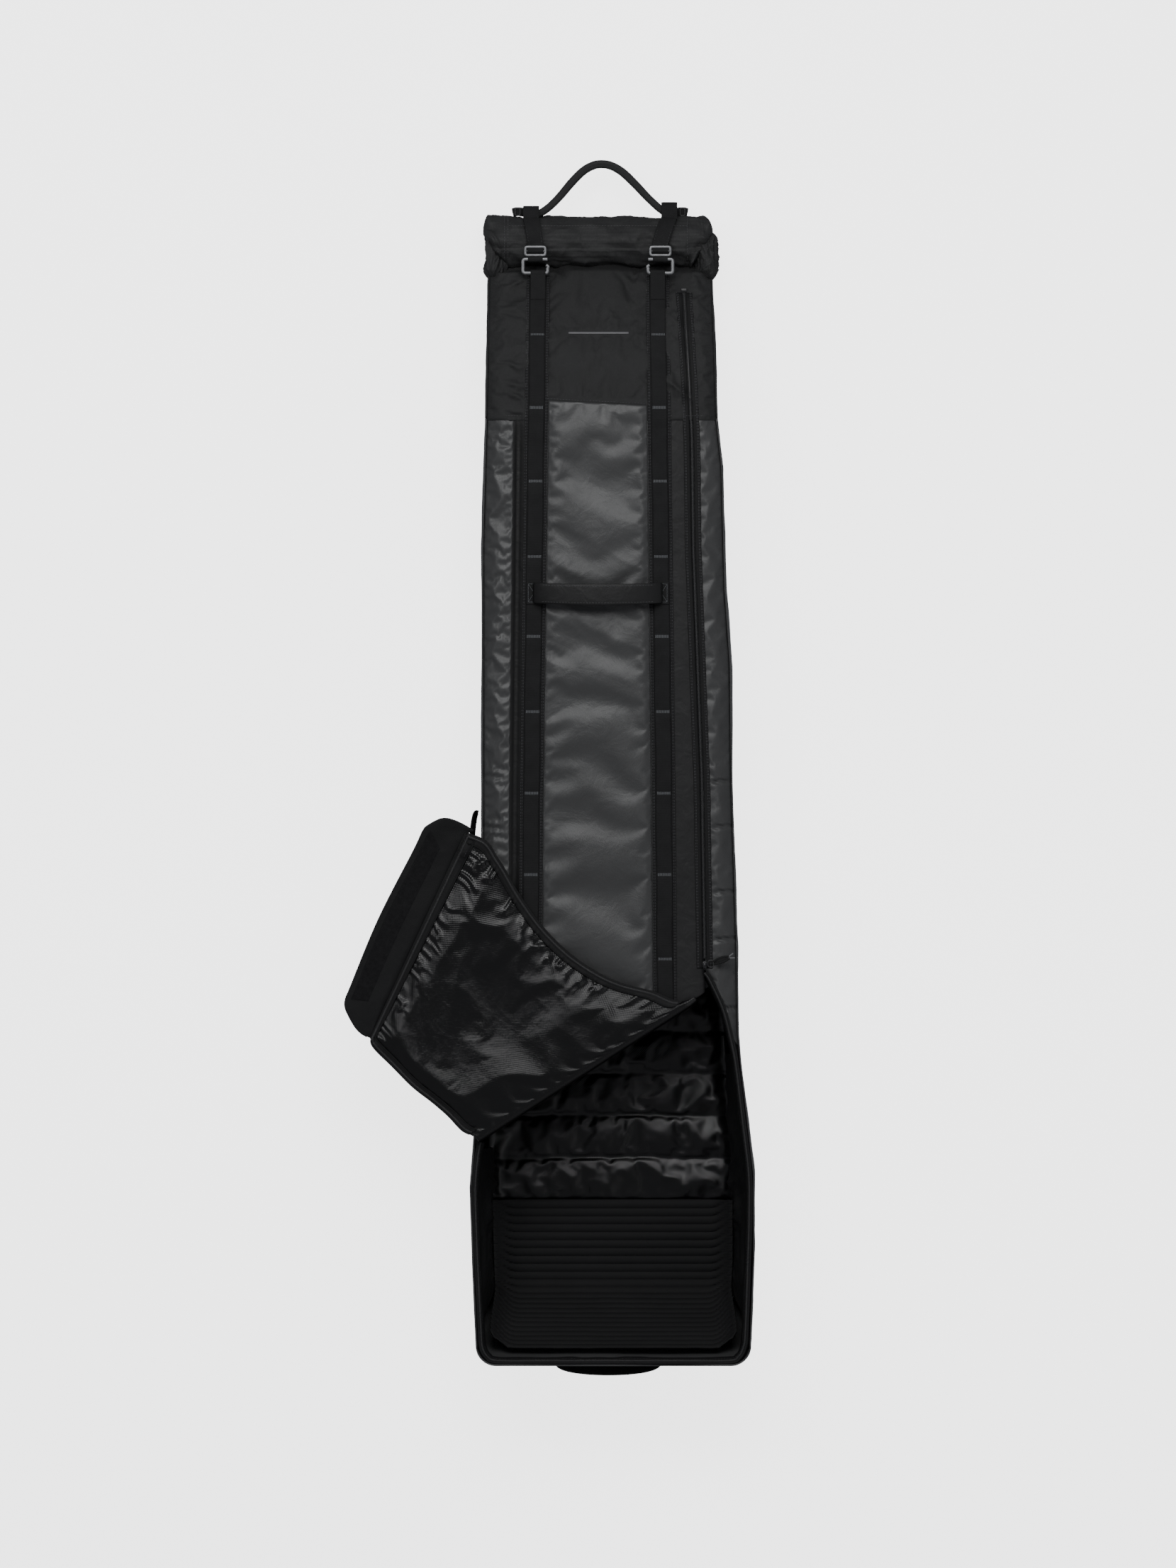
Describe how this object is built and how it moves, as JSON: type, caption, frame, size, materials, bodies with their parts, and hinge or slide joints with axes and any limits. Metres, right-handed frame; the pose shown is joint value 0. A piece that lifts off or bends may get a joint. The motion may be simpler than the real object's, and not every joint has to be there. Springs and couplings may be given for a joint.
{
  "type": "ski bag",
  "caption": "Long roll-top ski bag lying on its back: webbing and handles along the front, a side zip, and a lined front flap folded open over a padded cavity.",
  "frame": {"origin": "on the back panel's flat underside, on the bag's middle line, at half the length of the body", "axes": "+Y to the rolled end, +X to the side with the long zip, +Z out of the front; the bag lies on its back"},
  "size_m": [0.6861, 2.0256, 0.2374],
  "materials": {
    "textile": "woven, matt",
    "coated": "coated, satin",
    "lining": "coated, glossy",
    "webbing": "woven webbing, matt",
    "padding": "ribbed padding, matt",
    "zip_tape": "woven tape, matt",
    "zip_coil": "moulded coil",
    "gunmetal": "dark grey, satin"
  },
  "bodies": {
    "bag": {"back_lining": "lining", "back_panel": "coated", "centre_panel": "coated", "end_pad": "padding", "end_rim_tape": "zip_tape", "end_wall": "coated", "floor_pad": "padding", "front_panel": "coated", "grommet": "gunmetal", "handle_patch_left": "webbing", "handle_patch_right": "webbing", "left_backing": "webbing", "left_rim_tape": "zip_tape", "left_side_lining": "lining", "left_side_panel": "coated", "left_strap_frame": "gunmetal", "left_top_strap": "webbing", "left_upper_wall": "textile", "left_wall": "coated", "left_webbing": "webbing", "long_zip_coil": "zip_coil", "long_zip_tape_left": "zip_tape", "long_zip_tape_right": "zip_tape", "right_backing": "webbing", "right_rim_tape": "zip_tape", "right_side_lining": "lining", "right_side_panel": "coated", "right_strap_frame": "gunmetal", "right_top_strap": "webbing", "right_upper_wall": "textile", "right_wall": "coated", "right_webbing": "webbing", "roll_end_left": "textile", "roll_end_right": "textile", "top_loop_left": "gunmetal", "top_loop_right": "gunmetal", "top_roll": "textile", "upper_back": "textile", "upper_front": "textile", "zip_top_stop": "gunmetal"},
    "flap": {"flap_panel": "coated", "flap_lining": "lining", "flap_side_tape": "zip_tape", "flap_end_tape": "zip_tape"},
    "cover": {"cover_strip": "coated", "hook_loop_band": "padding"},
    "slider": {"zip_slider": "gunmetal"},
    "pull": {"pull_ring": "gunmetal", "pull_cord": "webbing"},
    "hook_left": {"left_hook": "gunmetal"},
    "hook_right": {"right_hook": "gunmetal"},
    "handle_top": {"top_handle": "webbing"},
    "handle_front": {"front_handle": "coated"},
    "handle_bottom": {"bottom_handle": "webbing"},
    "handle_side": {"side_handle": "webbing"}
  },
  "joints": [
    {"name": "flap_fold", "type": "hinge", "parent": "bag", "child": "flap", "pos_m": [-0.2124, -0.5794, 0.198], "axis": [0.8483, 0.5296, 0], "range_deg": [0, 175]},
    {"name": "cover_fold", "type": "hinge", "parent": "flap", "child": "cover", "pos_m": [-0.227, -0.071, 0.2068], "axis": [0.4264, 0.9046, 0], "range_deg": [-25, 150]},
    {"name": "slider_run", "type": "slide", "parent": "bag", "child": "slider", "axis": [-0.0246, 0.9997, 0], "range_m": [0, 0.86]},
    {"name": "pull_swing", "type": "hinge", "parent": "slider", "child": "pull", "pos_m": [0.16971, -0.2915, 0.2066], "axis": [0.3321, -0.9432, 0], "range_deg": [0, 150]},
    {"name": "left_hook_swing", "type": "hinge", "parent": "bag", "child": "hook_left", "pos_m": [-0.1145, 0.8853, 0.1172], "axis": [-1, 0, 0], "range_deg": [0, 110]},
    {"name": "right_hook_swing", "type": "hinge", "parent": "bag", "child": "hook_right", "pos_m": [0.094, 0.8853, 0.1172], "axis": [-1, 0, 0], "range_deg": [0, 110]},
    {"name": "top_handle_swing", "type": "hinge", "parent": "bag", "child": "handle_top", "pos_m": [-0.0063, 0.97, 0.06], "axis": [1, 0, 0], "range_deg": [-25, 100]},
    {"name": "front_handle_tilt", "type": "hinge", "parent": "bag", "child": "handle_front", "pos_m": [0, 0.3285, 0.2054], "axis": [1, 0, 0], "range_deg": [-8, 8]},
    {"name": "bottom_handle_swing", "type": "hinge", "parent": "bag", "child": "handle_bottom", "pos_m": [0.007, -0.943, 0.14], "axis": [1, 0, 0], "range_deg": [0, 45]},
    {"name": "side_handle_swing", "type": "hinge", "parent": "bag", "child": "handle_side", "pos_m": [-0.209, -0.13, 0.11], "axis": [0, 1, 0], "range_deg": [-25, 25]}
  ]
}
